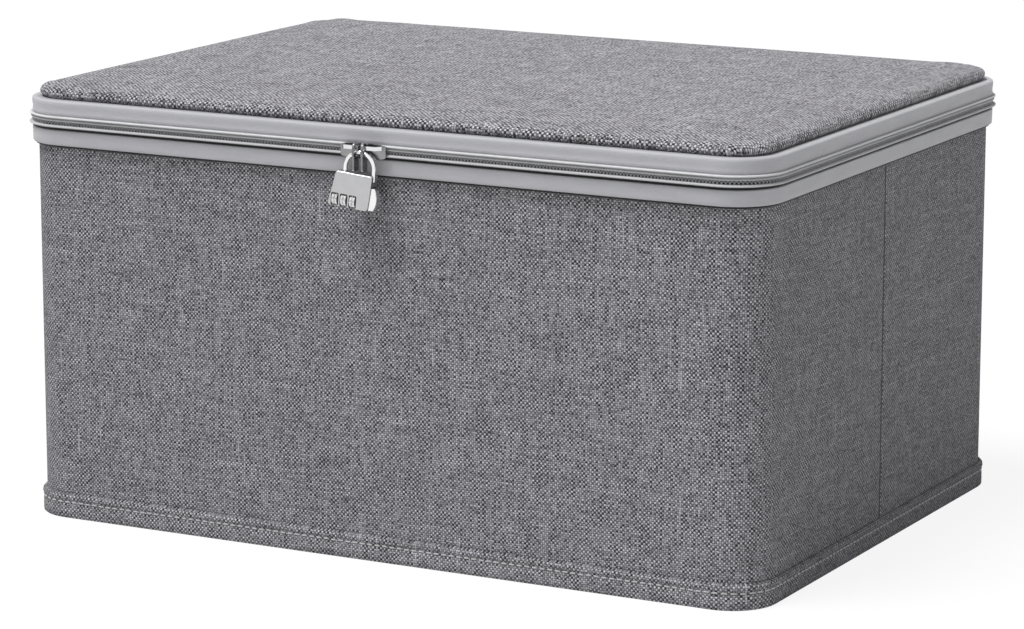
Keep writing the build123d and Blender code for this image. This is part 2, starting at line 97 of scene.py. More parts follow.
def distance_round(x, y):
    """Distance along the wall face from the middle of the back, going by the right side."""
    if abs(x) <= CORE_X:
        if y > 0:
            return x if x >= 0 else x + PERIMETER
        return CORE_X + 2 * QUARTER + 2 * CORE_Y + CORE_X - x
    if abs(y) <= CORE_Y:
        if x > 0:
            return CORE_X + QUARTER + CORE_Y - y
        return 3 * CORE_X + 3 * QUARTER + 2 * CORE_Y + CORE_Y + y
    turn = math.atan2(abs(y) - CORE_Y, abs(x) - CORE_X) * CORNER
    if x > 0 and y > 0:
        return CORE_X + QUARTER - turn
    if x > 0:
        return CORE_X + QUARTER + 2 * CORE_Y + turn
    if y < 0:
        return 3 * CORE_X + 3 * QUARTER + 2 * CORE_Y - turn
    return 3 * CORE_X + 3 * QUARTER + 4 * CORE_Y + turn


print("outline length mm:", round(PERIMETER, 1))

# %% [markdown]
# ## Sweeping a section round the box
# Bands, tapes and bindings are long strips of one section. A strip is made as a hand would lay it:
# pulled straight along a side, then turned about the corner's centre, side after side.

# %% Strip helpers


def pull_straight(form, edges, step, pieces=1):
    """Extrude the section's edges along a straight side and return the new edges."""
    for _ in range(pieces):
        made = bmesh.ops.extrude_edge_only(form, edges=edges)["geom"]
        edges = [g for g in made if isinstance(g, bmesh.types.BMEdge)]
        points = [g for g in made if isinstance(g, bmesh.types.BMVert)]
        bmesh.ops.translate(form, verts=points, vec=Vector(step) / pieces)
    return edges


def turn_corner(form, edges, centre, angle=-math.pi / 2):
    """Spin the section's edges a quarter turn about a corner's centre."""
    points = list({v for e in edges for v in e.verts})
    made = bmesh.ops.spin(form, geom=edges + points, cent=centre, axis=(0, 0, 1), dvec=(0, 0, 0),
                          angle=angle, steps=CORNER_STEPS)
    return [g for g in made["geom_last"] if isinstance(g, bmesh.types.BMEdge)]


def section_edges(form, section, x):
    """A closed section of (out, up) points standing at a place along the back wall."""
    points = [form.verts.new((x, HALF_Y + out, up)) for out, up in section]
    return [form.edges.new(pair) for pair in zip(points, points[1:] + points[:1])]


def round_corners(form, edges):
    """From the back's right end, round all four corners, to the back's left end."""
    legs = [((CORE_X, CORE_Y, 0), (0, -2 * CORE_Y, 0), 6),
            ((CORE_X, -CORE_Y, 0), (-2 * CORE_X, 0, 0), 8),
            ((-CORE_X, -CORE_Y, 0), (0, 2 * CORE_Y, 0), 6)]
    for centre, step, pieces in legs:
        edges = turn_corner(form, edges, centre)
        edges = pull_straight(form, edges, step, pieces)
    return turn_corner(form, edges, (-CORE_X, CORE_Y, 0))


def strip_round(section):
    """A strip of one section that goes once round the box."""
    form = bmesh.new()
    edges = section_edges(form, section, 0)
    edges = pull_straight(form, edges, (CORE_X, 0, 0), 4)
    edges = round_corners(form, edges)
    pull_straight(form, edges, (CORE_X, 0, 0), 4)
    bmesh.ops.remove_doubles(form, verts=form.verts, dist=0.01)
    return form


def strip_along_zip(section):
    """A closed strip along the zip: a short return at the back, the sides and the front."""
    form = bmesh.new()
    edges = section_edges(form, section, CORE_X - ZIP_RETURN)
    bmesh.ops.contextual_create(form, geom=edges)
    edges = pull_straight(form, edges, (ZIP_RETURN, 0, 0), 2)
    edges = round_corners(form, edges)
    edges = pull_straight(form, edges, (ZIP_RETURN, 0, 0), 2)
    bmesh.ops.contextual_create(form, geom=edges)
    return form


# %% [markdown]
# ## Finishing a piece
# A finished mesh is scaled to metres, gets a map that follows the cloth (so that the weave turns
# the corners with it), rides on its body and hides the solid that it stands for.

# %% Map and finish helpers


def map_walls(point):
    """Along the outline and up, both in metres, for upright cloth."""
    return distance_round(point.x, point.y) / 1000, point.z / 1000


def map_flat(point):
    """Across and along, both in metres, for cloth that lies flat."""
    return point.x / 1000, point.y / 1000


def write_map(form, rule):
    """Write a cloth map from a rule, keeping every face on one side of the outline's start."""
    layer = form.loops.layers.uv.new("cloth")
    wrap = PERIMETER / 1000
    for face in form.faces:
        middle = rule(face.calc_center_median())[0]
        for loop in face.loops:
            u, v = rule(loop.vert.co)
            if u - middle > wrap / 2:
                u -= wrap
            if middle - u > wrap / 2:
                u += wrap
            loop[layer].uv = (u, v)


def mesh_of(form, name):
    """Turn a bmesh into a mesh, and let the bmesh go."""
    mesh = bpy.data.meshes.new(name)
    form.to_mesh(mesh)
    form.free()
    return mesh


def make_object(name, form, material, rule, smooth):
    """Turn a bmesh drawn in millimetres into an object in metres, with its map and material."""
    write_map(form, rule)
    bmesh.ops.scale(form, vec=(0.001, 0.001, 0.001), verts=form.verts)
    for face in form.faces:
        face.smooth = smooth
    piece = place_object(name, mesh_of(form, name))
    piece.data.materials.append(material)
    return piece


def set_on_body(piece, body, nodes):
    """Let a piece ride on its body, in place of the solids that it stands for."""
    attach(piece, body)
    if nodes:
        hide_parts(*nodes)
    print(piece.name, "faces", len(piece.data.polygons))
    return piece


def finish_piece(name, form, body, material, nodes=(), rule=map_walls, smooth=True):
    """Turn a closed form into a finished piece on its body."""
    bmesh.ops.recalc_face_normals(form, faces=form.faces)
    return set_on_body(make_object(name, form, material, rule, smooth), body, nodes)


def apply_modifiers(piece):
    """Bake a piece's modifiers into its mesh."""
    made = bpy.data.meshes.new_from_object(piece.evaluated_get(bpy.context.evaluated_depsgraph_get()))
    piece.modifiers.clear()
    old = piece.data
    piece.data = made
    made.name = piece.name
    bpy.data.meshes.remove(old)


# %% [markdown]
# ## A small kit for wiring materials
# A procedural finish is a chain of small sums on the map's coordinates. This kit keeps each sum on
# one readable line.

# %% Material kit


class Wiring:
    """Adds nodes to a tree and joins them as it goes."""

    def __init__(self, tree):
        self.tree = tree

    def node(self, kind, **settings):
        made = self.tree.nodes.new(kind)
        for name, value in settings.items():
            setattr(made, name, value)
        return made

    def feed(self, socket, value):
        if isinstance(value, bpy.types.NodeSocket):
            self.tree.links.new(value, socket)
        elif value is not None:
            socket.default_value = value

    def sum(self, operation, a, b=None, c=None, clamp=False):
        made = self.node("ShaderNodeMath", operation=operation, use_clamp=clamp)
        for socket, value in zip(made.inputs, (a, b, c)):
            self.feed(socket, value)
        return made.outputs[0]

    def plus(self, a, b, clamp=False):
        return self.sum("ADD", a, b, clamp=clamp)

    def times(self, a, b, clamp=False):
        return self.sum("MULTIPLY", a, b, clamp=clamp)

    def noise(self, vector, scale, detail=2.0, roughness=0.5):
        made = self.node("ShaderNodeTexNoise")
        self.feed(made.inputs["Vector"], vector)
        self.feed(made.inputs["Scale"], scale)
        self.feed(made.inputs["Detail"], detail)
        self.feed(made.inputs["Roughness"], roughness)
        return made.outputs[0]

    def swing(self, vector, scale, detail, reach):
        """A noise that swings about 0, by half its reach each way."""
        return self.times(self.sum("SUBTRACT", self.noise(vector, scale, detail), 0.5), reach)

    def vector(self, x, y, z=0.0):
        made = self.node("ShaderNodeCombineXYZ")
        for socket, value in zip(made.inputs, (x, y, z)):
            self.feed(socket, value)
        return made.outputs[0]

    def split(self, vector):
        made = self.node("ShaderNodeSeparateXYZ")
        self.feed(made.inputs[0], vector)
        return made.outputs

    def blend(self, factor, a, b):
        made = self.node("ShaderNodeMix", data_type="RGBA", clamp_factor=True)
        self.feed(made.inputs[0], factor)
        self.feed(made.inputs[6], a)
        self.feed(made.inputs[7], b)
        return made.outputs[2]

    def choose(self, factor, a, b):
        made = self.node("ShaderNodeMix", data_type="FLOAT")
        for number, value in ((0, factor), (2, a), (3, b)):
            self.feed(made.inputs[number], value)
        return made.outputs[0]

    def between(self, value, low, high, to_low=0.0, to_high=1.0):
        made = self.node("ShaderNodeMapRange")
        self.feed(made.inputs["Value"], value)
        limits = (("From Min", low), ("From Max", high), ("To Min", to_low), ("To Max", to_high))
        for name, number in limits:
            self.feed(made.inputs[name], number)
        return made.outputs[0]


def new_group(name, inputs, outputs):
    """An empty node group with named sockets; returns its wiring, inputs and output node."""
    tree = bpy.data.node_groups.new(name, "ShaderNodeTree")
    for label, kind, value in inputs:
        socket = tree.interface.new_socket(label, in_out="INPUT", socket_type=kind)
        if value is not None:
            socket.default_value = value
    for label, kind in outputs:
        tree.interface.new_socket(label, in_out="OUTPUT", socket_type=kind)
    wiring = Wiring(tree)
    entry = wiring.node("NodeGroupInput")
    leave = wiring.node("NodeGroupOutput")
    return tree, wiring, entry.outputs, leave.inputs


def new_material(name, **principled):
    """A material with its Principled shader's constants set; returns material, wiring and shader."""
    material = bpy.data.materials.new(name)
    material.use_nodes = True
    wiring = Wiring(material.node_tree)
    shader = next(n for n in material.node_tree.nodes if n.type == "BSDF_PRINCIPLED")
    for label, value in principled.items():
        shader.inputs[label.replace("_", " ")].default_value = value
    return material, wiring, shader


def use_group(wiring, tree, **values):
    made = wiring.node("ShaderNodeGroup", node_tree=tree)
    for label, value in values.items():
        wiring.feed(made.inputs[label.replace("_", " ")], value)
    return made.outputs


def cloth_map(wiring):
    return wiring.node("ShaderNodeUVMap", uv_map="cloth").outputs[0]


def add_bump(wiring, shader, height, distance):
    made = wiring.node("ShaderNodeBump")
    made.inputs["Distance"].default_value = distance
    made.inputs["Strength"].default_value = 1.0
    wiring.feed(made.inputs["Height"], height)
    wiring.feed(shader.inputs["Normal"], made.outputs[0])


# %% [markdown]
# ## The woven cloth
# The cloth is a plain weave of thick melange yarns: light and dark fibres are spun together, so every
# yarn changes tone along its length, and now and then a lighter thick place, a slub, runs for a few
# centimetres. The group counts yarns both ways and gives each its round back and its wave. Whichever
# stands higher is the yarn that is seen, and its colour is darkened where it lies low: painted shade
# that leaves small dark holes between the crossings. The wall cloth is also blended towards its dark
# end where it is seen at a slant, painted shade that makes the side walls darker.

# %% Weave group
MIDDLE_TONE = 0.44
YARN_DRIFT = 0.7
YARN_FLECK = 1.3
PATCH_TONE = 0.06
HAIR_HEIGHT = 0.35
SLUB_TONE = 0.42
WARP_SLUB_RARITY = 0.75
WEFT_SLUB_RARITY = 0.71
weave, w, given, out = new_group(
    "plain weave",
    [("Vector", "NodeSocketVector", None), ("Pitch", "NodeSocketFloat", 0.00115),
     ("Wobble", "NodeSocketFloat", 1.0), ("Melange", "NodeSocketFloat", 1.0),
     ("Slubs", "NodeSocketFloat", 1.0), ("Contrast", "NodeSocketFloat", 0.36),
     ("Dark", "NodeSocketColor", (0.03, 0.03, 0.033, 1)),
     ("Light", "NodeSocketColor", (0.6, 0.6, 0.62, 1))],
    [("Color", "NodeSocketColor"), ("Height", "NodeSocketFloat"), ("Tone", "NodeSocketFloat")])
across, along, _ = w.split(given["Vector"])


def yarn_count(distance, bend_scale):
    """How many yarns lie before a place, with a slow wobble so that the rows aren't ruled."""
    bend = w.swing(given["Vector"], bend_scale, 1, given["Wobble"])
    return w.plus(w.sum("DIVIDE", distance, given["Pitch"]), bend)


u = yarn_count(across, 140)
v = yarn_count(along, 170)
warp_number = w.sum("FLOOR", u)
weft_number = w.sum("FLOOR", v)
round_u = w.sum("SINE", w.times(w.sum("FRACT", u), math.pi))
round_v = w.sum("SINE", w.times(w.sum("FRACT", v), math.pi))
warp_phase = w.plus(w.sum("SUBTRACT", v, 0.5), warp_number)
weft_phase = w.plus(w.plus(u, 0.5), weft_number)
warp_wave = w.sum("COSINE", w.times(warp_phase, math.pi))
weft_wave = w.sum("COSINE", w.times(weft_phase, math.pi))
warp_height = w.times(w.plus(round_u, warp_wave), 0.5)
weft_height = w.times(w.plus(round_v, weft_wave), 0.5)
over = w.sum("GREATER_THAN", weft_height, warp_height)
slanting = w.vector(w.sum("MULTIPLY_ADD", u, 5.0, w.times(v, 2.5)),
                    w.sum("MULTIPLY_ADD", v, 1.2, w.times(u, -0.6)))
hair = w.swing(slanting, 1.0, 1, HAIR_HEIGHT)
height = w.plus(w.sum("MAXIMUM", warp_height, weft_height), hair)


def yarn_place(number, run, seed, apart, pace):
    """Where a noise is read, so that it differs between yarns and changes along each at a pace."""
    return w.vector(w.times(number, apart), w.times(run, pace), seed)


def yarn_tone(number, run, seed, side):
    """Tone of one yarn: its own shade, slow drift along it and the quick melange of its fibres."""
    drift = w.swing(yarn_place(number, run, seed, 3.7, 0.06), 1.0, 1, YARN_DRIFT)
    fleck = w.swing(yarn_place(number, run, seed, 5.3, 0.8), 1.0, 1, YARN_FLECK)
    melange = w.times(w.plus(drift, fleck), given["Melange"])
    return w.plus(melange, w.times(given["Contrast"], side))


def slub_mask(number, run, seed, rarity):
    """Bright where a thick light fibre runs along one yarn."""
    place = yarn_place(number, run, seed, 9.1, 0.035)
    return w.between(w.noise(place, 1.0, 0), rarity, rarity + 0.08)


tone = w.choose(over, yarn_tone(warp_number, v, 1.7, -0.5), yarn_tone(weft_number, u, 8.3, 0.5))
slub = w.choose(over, slub_mask(warp_number, v, 4.1, WARP_SLUB_RARITY),
                slub_mask(weft_number, u, 6.9, WEFT_SLUB_RARITY))
slub = w.times(slub, given["Slubs"])
patch = w.swing(given["Vector"], 22, 3, PATCH_TONE)
level = w.plus(w.plus(MIDDLE_TONE, tone), patch)
level = w.plus(level, w.times(slub, SLUB_TONE), clamp=True)
# Painted shade: each yarn's colour darkens where it lies low, at its sides and in the holes between
# crossings.
depth_shade = w.sum("MULTIPLY_ADD", height, 1.15, 0.02, clamp=True)
shaded = w.times(level, depth_shade, clamp=True)
w.feed(out["Color"], w.blend(shaded, given["Dark"], given["Light"]))
w.feed(out["Height"], w.plus(height, w.times(slub, 0.3)))
w.feed(out["Tone"], level)

# %% Cloth material


def cloth_material(name, dark, light, pitch=0.00106, melange=1.0, slubs=1.0, contrast=0.5,
                   bump=0.0003, painted_side_shade=0.0):
    material, w, shader = new_material(name, Roughness=0.9, Specular_IOR_Level=0.25,
                                       Sheen_Weight=0.12, Sheen_Roughness=0.5)
    made = use_group(w, weave, Vector=cloth_map(w), Pitch=pitch, Melange=melange, Slubs=slubs,
                     Contrast=contrast, Dark=(*dark, 1), Light=(*light, 1))
    color = made["Color"]
    if painted_side_shade:
        # Painted shade: the colour is blended towards the dark end where the cloth is seen at a slant,
        # so the side walls read darker.
        facing = w.node("ShaderNodeLayerWeight")
        facing.inputs["Blend"].default_value = 0.5
        shaded = w.times(facing.outputs["Facing"], painted_side_shade)
        color = w.blend(shaded, color, (*dark, 1))
    w.feed(shader.inputs["Base Color"], color)
    w.feed(shader.inputs["Roughness"], w.between(made["Tone"], 0.0, 1.0, 0.95, 0.75))
    add_bump(w, shader, made["Height"], bump)
    return material


melange_cloth = cloth_material("melange cloth", (0.018, 0.018, 0.021), (0.70, 0.69, 0.745),
                               painted_side_shade=0.43)
# Painted light: the lid's copy of the cloth has a lighter dark end and a lighter light end, so the lid's
# top reads brighter than the walls.
lid_melange_painted_light = cloth_material("melange cloth painted lighter for the lid", (0.03, 0.03, 0.034), (0.75, 0.74, 0.79),
                             pitch=0.0012, melange=1.7, slubs=1.2, contrast=0.6)
lining_cloth = cloth_material("thin lining", (0.30, 0.30, 0.31), (0.62, 0.62, 0.63),
                              pitch=0.0005, melange=0.25, slubs=0.0, contrast=0.1, bump=0.00008)

# %% [markdown]
# ## The ribbon and the zip tape
# The bands are a smooth ribbon with very fine slanting ribs that only show close by, as a silky
# sheen. The zip's tape is the same yarn with a steeper slant, folded over.

# %% Ribbon materials
RIB_PITCH = 0.0006
ribbing, w, given, out = new_group(
    "fine ribs",
    [("Vector", "NodeSocketVector", None), ("Pitch", "NodeSocketFloat", 0.0005),
     ("Lean", "NodeSocketFloat", 0.0)],
    [("Height", "NodeSocketFloat"), ("Shade", "NodeSocketFloat")])
across, along, _ = w.split(given["Vector"])
slant = w.times(w.sum("DIVIDE", along, given["Pitch"]), given["Lean"])
ribs = w.plus(w.sum("DIVIDE", across, given["Pitch"]), slant)
turn = w.times(ribs, 2 * math.pi)
rib = w.sum("MULTIPLY_ADD", w.sum("SINE", turn), 0.5, 0.5)
fibre = w.noise(w.vector(w.times(across, 0.12), along), 2600, 2)
cloudy = w.noise(w.vector(w.times(across, 0.2), along), 260, 2)
w.feed(out["Height"], w.plus(w.times(rib, 0.7), w.times(fibre, 0.3)))
w.feed(out["Shade"], w.plus(w.times(fibre, 0.4), w.times(cloudy, 0.6)))


def ribbon_material(name, dark, light, lean=1.0, bump=0.00006):
    material, w, shader = new_material(name, Roughness=0.6, Specular_IOR_Level=0.35,
                                       Sheen_Weight=0.15, Sheen_Roughness=0.4)
    made = use_group(w, ribbing, Vector=cloth_map(w), Pitch=RIB_PITCH, Lean=lean)
    shade = w.between(made["Shade"], 0.25, 0.75)
    w.feed(shader.inputs["Base Color"], w.blend(shade, (*dark, 1), (*light, 1)))
    w.feed(shader.inputs["Roughness"], w.between(made["Shade"], 0.2, 0.8, 0.7, 0.5))
    add_bump(w, shader, made["Height"], bump)
    return material


grey_ribbon = ribbon_material("grey ribbon", (0.44, 0.44, 0.465), (0.51, 0.51, 0.54), lean=0.8)
zip_ribbon = ribbon_material("zip tape", (0.38, 0.38, 0.395), (0.48, 0.48, 0.495), bump=0.00008)
# Painted highlight: the cord and the fold are lighter copies of the tape's colour, to make the zip's two
# ridges bright.
zip_cord_painted_highlight = ribbon_material("zip cord painted highlight", (0.60, 0.60, 0.615), (0.70, 0.70, 0.715), bump=0.00008)
zip_fold_painted_highlight = ribbon_material("zip fold painted highlight", (0.46, 0.46, 0.475), (0.56, 0.56, 0.575), bump=0.00008)
# Painted shadow: a near-black strip, set in seams and grooves where only shade falls.
painted_shadow_strip = ribbon_material("painted shadow strip", (0.008, 0.008, 0.009), (0.02, 0.02, 0.021))

# %% [markdown]
# ## Hard finishes
# Moulded teeth are dull grey plastic. The sliders and the lock are cast zinc with bright plating:
# the casting's skin shows as a faint unevenness, and handling leaves fine scuffs in the shine.

# %% Wear group and metals
SCUFF_SCALE = 900.0
SKIN_DEPTH = 0.00001
scuffs, w, given, out = new_group(
    "fine scuffs",
    [("Vector", "NodeSocketVector", None), ("Scale", "NodeSocketFloat", 900.0)],
    [("Scuff", "NodeSocketFloat"), ("Cloud", "NodeSocketFloat")])
stretched = w.node("ShaderNodeMapping")
stretched.inputs["Rotation"].default_value = (0.3, 0.5, 0.8)
stretched.inputs["Scale"].default_value = (1.0, 6.0, 1.5)
w.feed(stretched.inputs["Vector"], given["Vector"])
w.feed(out["Scuff"], w.between(w.noise(stretched.outputs[0], given["Scale"], 3), 0.45, 0.75))
w.feed(out["Cloud"], w.noise(given["Vector"], w.times(given["Scale"], 0.25), 2))


def hard_material(name, dark, light, roughness, metallic=1.0):
    """Scuffed plating, or moulded plastic and paint where metallic is 0."""
    material, w, shader = new_material(name, Metallic=metallic)
    place = w.node("ShaderNodeTexCoord").outputs["Object"]
    made = use_group(w, scuffs, Vector=place, Scale=SCUFF_SCALE)
    w.feed(shader.inputs["Base Color"], w.blend(made["Cloud"], (*dark, 1), (*light, 1)))
    w.feed(shader.inputs["Roughness"], w.between(made["Scuff"], 0.0, 1.0, roughness, roughness + 0.12))
    add_bump(w, shader, made["Cloud"], SKIN_DEPTH)
    return material


slider_metal = hard_material("plated slider", (0.26, 0.26, 0.265), (0.36, 0.36, 0.365), 0.18)
crown_metal = hard_material("bright slider crown", (0.74, 0.74, 0.75), (0.84, 0.84, 0.84), 0.12)
pull_metal = hard_material("dark plated pull", (0.20, 0.20, 0.205), (0.30, 0.30, 0.305), 0.22)
lock_satin = hard_material("satin lock case", (0.52, 0.52, 0.53), (0.60, 0.60, 0.61), 0.30)
shackle_bright = hard_material("bright shackle", (0.84, 0.84, 0.85), (0.92, 0.92, 0.92), 0.10)
dial_metal = hard_material("plated dial", (0.66, 0.66, 0.66), (0.8, 0.8, 0.8), 0.2)
inner_steel = hard_material("plain steel", (0.42, 0.42, 0.42), (0.55, 0.55, 0.54), 0.35)
tooth_plastic = hard_material("zip tooth", (0.20, 0.20, 0.21), (0.32, 0.32, 0.33), 0.42, metallic=0.0)
black_print_and_shadow = hard_material("black print and painted shadow", (0.012, 0.012, 0.012), (0.03, 0.03, 0.03), 0.45, metallic=0.0)

# %% Board, foam and thread


def plain_material(name, dark, light, scale, roughness, bump):
    material, w, shader = new_material(name, Roughness=roughness)
    place = w.node("ShaderNodeTexCoord").outputs["Object"]
    grain = w.noise(place, scale, 3, 0.6)
    w.feed(shader.inputs["Base Color"], w.blend(w.between(grain, 0.3, 0.7), (*dark, 1), (*light, 1)))
    w.feed(shader.inputs["Roughness"], w.between(grain, 0.2, 0.8, roughness - 0.08, roughness + 0.05))
    add_bump(w, shader, grain, bump)
    return material


stiff_board = plain_material("stiff board", (0.60, 0.58, 0.53), (0.72, 0.70, 0.66), 500, 0.85, 0.00005)
card_black = plain_material("black card", (0.015, 0.015, 0.015), (0.03, 0.03, 0.03), 60, 0.9, 0.00005)
stitch_thread = plain_material("stitch thread", (0.42, 0.42, 0.43), (0.60, 0.60, 0.61),
                               3000, 0.75, 0.00004)

# %% Finishes on the solids that stay
carried = {
    stiff_board: ["base_board", "front_wall_board", "back_wall_board", "lid_rim_board", "lid_board"],
    slider_metal: ["left_slider_body", "right_slider_body"],
    crown_metal: ["left_slider_crown", "right_slider_crown"],
    pull_metal: ["left_pull_tab", "right_pull_tab"],
    shackle_bright: ["shackle", "release_button"],
    lock_satin: ["lock_front_shell", "lock_back_shell"],
    dial_metal: ["number_dial_1", "number_dial_2", "number_dial_3"],
    inner_steel: ["shackle_pivot_pin", "lock_rivets", "dial_spindle", "dial_detent_leaf",
                  "button_spring", "latch_bar"],
}
for material, names in carried.items():
    for name in names:
        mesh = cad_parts[name].data
        mesh.materials.clear()
        mesh.materials.append(material)

# %% [markdown]
# ## The wall cloth
# The cloth is two long pieces, each bent round two corners and joined at a seam in the middle of each
# side. A sheet is swept the same way as the strips, its last few millimetres tuck in to the seam, and
# a Solidify modifier gives it the thickness of the cloth. A near-black cord in each side seam is painted
# shadow.

# %% Wall cloth
CLOTH_THICKNESS = 1.0
SEAM_TUCK = 0.7
SEAM_MOUTH = 0.25
SEAM_SLOPE = 0.5
SEAM_SHOULDER = 1.2


def wall_half(side):
    """One U of cloth, from the right side seam by the front or the back to the left side seam."""
    form = bmesh.new()
    levels = [1.0, 4.0] + [12.0 + 12.3 * n for n in range(15)] + [190.0, 196.8]
    points = [form.verts.new((HALF_X - SEAM_TUCK, side * SEAM_MOUTH, up)) for up in levels]
    edges = [form.edges.new(pair) for pair in zip(points, points[1:])]
    straight = side * (CORE_Y - SEAM_MOUTH - SEAM_SLOPE - SEAM_SHOULDER)
    quarter_turn = side * math.pi / 2
    edges = pull_straight(form, edges, (SEAM_TUCK * 0.75, side * SEAM_SLOPE, 0))
    edges = pull_straight(form, edges, (SEAM_TUCK * 0.25, side * SEAM_SHOULDER, 0))
    edges = pull_straight(form, edges, (0, straight, 0), 8)
    edges = turn_corner(form, edges, (CORE_X, side * CORE_Y, 0), quarter_turn)
    edges = pull_straight(form, edges, (-2 * CORE_X, 0, 0), 24)
    edges = turn_corner(form, edges, (-CORE_X, side * CORE_Y, 0), quarter_turn)
    edges = pull_straight(form, edges, (0, -straight, 0), 8)
    edges = pull_straight(form, edges, (SEAM_TUCK * 0.25, -side * SEAM_SHOULDER, 0))
    pull_straight(form, edges, (SEAM_TUCK * 0.75, -side * SEAM_SLOPE, 0))
    return form


def outward_sheet(form):
    """Turn an open sheet's faces away from the box's middle."""
    bmesh.ops.recalc_face_normals(form, faces=form.faces)
    if sum(face.normal.xy.dot(face.calc_center_median().xy) for face in form.faces) < 0:
        bmesh.ops.reverse_faces(form, faces=form.faces)


def thicken(piece, thickness):
    """Give a sheet its thickness inwards, and bake it."""
    solid = piece.modifiers.new("thickness", "SOLIDIFY")
    solid.thickness = thickness / 1000
    solid.offset = -1
    bpy.context.view_layer.update()
    apply_modifiers(piece)


for name, side, solid, board in (("wall_cloth_front", -1, "front_wall_fabric", "front_wall_board"),
                                 ("wall_cloth_back", 1, "back_wall_fabric", "back_wall_board")):
    form = wall_half(side)
    outward_sheet(form)
    cloth = make_object(name, form, melange_cloth, map_walls, True)
    thicken(cloth, CLOTH_THICKNESS)
    set_on_body(cloth, "box", [solid])

# %% Side seam cords, painted shadow
SEAM_SHADOW_SIZE = (0.6, 1.3, 172.8)
SEAM_SHADOW_DEPTH = 0.42
SEAM_SHADOW_MIDDLE = 98.6


def add_block(form, size, place=(0, 0, 0)):
    """Add a block of a size, with its middle at a place."""
    made = bmesh.ops.create_cube(form, size=1.0)["verts"]
    bmesh.ops.scale(form, verts=made, vec=size)
    bmesh.ops.translate(form, verts=made, vec=place)


def take_off_edges(form, width, segments=1):
    bmesh.ops.bevel(form, geom=list(form.edges), offset=width, segments=segments, profile=0.5,
                    affect="EDGES", material=-1)


seam_shadow_form = bmesh.new()
for middle in (HALF_X - SEAM_SHADOW_DEPTH, SEAM_SHADOW_DEPTH - HALF_X):
    add_block(seam_shadow_form, SEAM_SHADOW_SIZE, (middle, 0, SEAM_SHADOW_MIDDLE))
take_off_edges(seam_shadow_form, 0.2, 2)
finish_piece("side_seam_shadows", seam_shadow_form, "box", painted_shadow_strip)

# %% [markdown]
# ## The foot binding
# A folded strip of the same cloth is sewn round the foot. Its section has a flat skirt, a stitched
# channel and a round fold on top.

# %% Foot binding
binding_section = [(0.1, 0.0), (1.4, 0.0), (1.9, 0.5), (1.95, 3.0), (1.9, 6.4), (1.5, 7.5),
                   (1.45, 8.1), (1.6, 8.7), (2.05, 9.3), (2.3, 10.2), (2.1, 11.2), (1.4, 12.0),
                   (0.1, 12.2)]
finish_piece("foot_binding", strip_round(binding_section), "box", melange_cloth, ["foot_rim"])

# %% [markdown]
# ## The ribbon bands
# Each band is a ribbon sewn over a cord of board. It bows in by a hair along its middle, which makes
# the soft shadow along it. The upper ribbon is turned in under the pad, and under the lower one a thin
# near-black cord in the seam is painted shadow.

# %% Ribbon bands
lower_band_section = [(0.0, 186.0), (2.0, 186.0), (2.6, 186.2), (2.8, 186.6), (2.85, 188.0),
                      (2.9, 190.0), (2.95, 192.0), (3.0, 193.0), (2.9, 193.4), (2.4, 193.6),
                      (0.0, 193.6)]
upper_band_section = [(0.0, 200.6), (2.6, 200.6), (2.95, 200.9), (2.8, 202.4), (2.7, 203.4),
                      (2.85, 204.6), (3.0, 206.0), (3.0, 206.9), (2.75, 207.5), (2.2, 207.85),
                      (-2.6, 207.95), (-2.6, 207.8), (0.0, 207.8)]
# The last section is a near-black cord, painted shadow under the lower band.
band_shadow_section = [(0.05, 184.9), (1.0, 184.9), (1.6, 185.3), (1.7, 186.0), (0.05, 186.0)]
for name, section, body, material, solids in (
        ("lower_ribbon", lower_band_section, "box", grey_ribbon, ["lower_band"]),
        ("upper_ribbon", upper_band_section, "lid", grey_ribbon, ["upper_band"]),
        ("band_seam_shadow", band_shadow_section, "box", painted_shadow_strip, [])):
    finish_piece(name, strip_round(section), body, material, solids)

# %% [markdown]
# ## The zip
# The tape is folded round each row of teeth: the fold makes a ridge, then the cloth dips to the teeth.
# Over the upper fold lies a cord. The cord and the lower fold are lighter copies of the tape's colour,
# a painted highlight on the two ridges, and under the lower ridge a near-black strip is painted shadow.
# The teeth are one small moulded block, set again and again along the zip, with the upper row half a
# step on from the lower, so that the rows mesh.

# %% Zip tapes
lower_tape_section = [(1.6, 195.0), (3.6, 195.05), (4.25, 195.1), (4.5, 195.35), (4.5, 195.7),
                      (4.1, 196.0), (3.3, 196.1), (2.6, 196.2), (1.6, 196.3)]
upper_tape_section = [(1.6, 200.6), (2.9, 200.6), (3.0, 200.35), (3.1, 199.3), (3.0, 199.0),
                      (3.5, 198.85), (3.75, 198.6), (3.75, 198.2), (3.5, 197.95), (2.6, 197.9),
                      (1.6, 197.9)]
upper_cord_section = [(2.8, 199.6), (3.9, 199.55), (4.25, 199.7), (4.35, 199.95), (4.2, 200.25),
                      (3.7, 200.4), (2.8, 200.4)]
# The lower gap section is a near-black strip, painted shadow under the lower ridge.
lower_gap_shadow_section = [(1.6, 193.6), (2.3, 193.7), (2.2, 195.02), (1.6, 195.02)]
for name, section, body, material, solids in (
        ("lower_zip_fold", lower_tape_section, "box", zip_fold_painted_highlight, ["lower_zip_tape"]),
        ("upper_zip_fold", upper_tape_section, "lid", zip_ribbon, ["upper_zip_tape"]),
        ("upper_zip_cord", upper_cord_section, "lid", zip_cord_painted_highlight, []),
        ("lower_zip_shadow", lower_gap_shadow_section, "box", painted_shadow_strip, [])):
    finish_piece(name, strip_along_zip(section), body, material, solids)

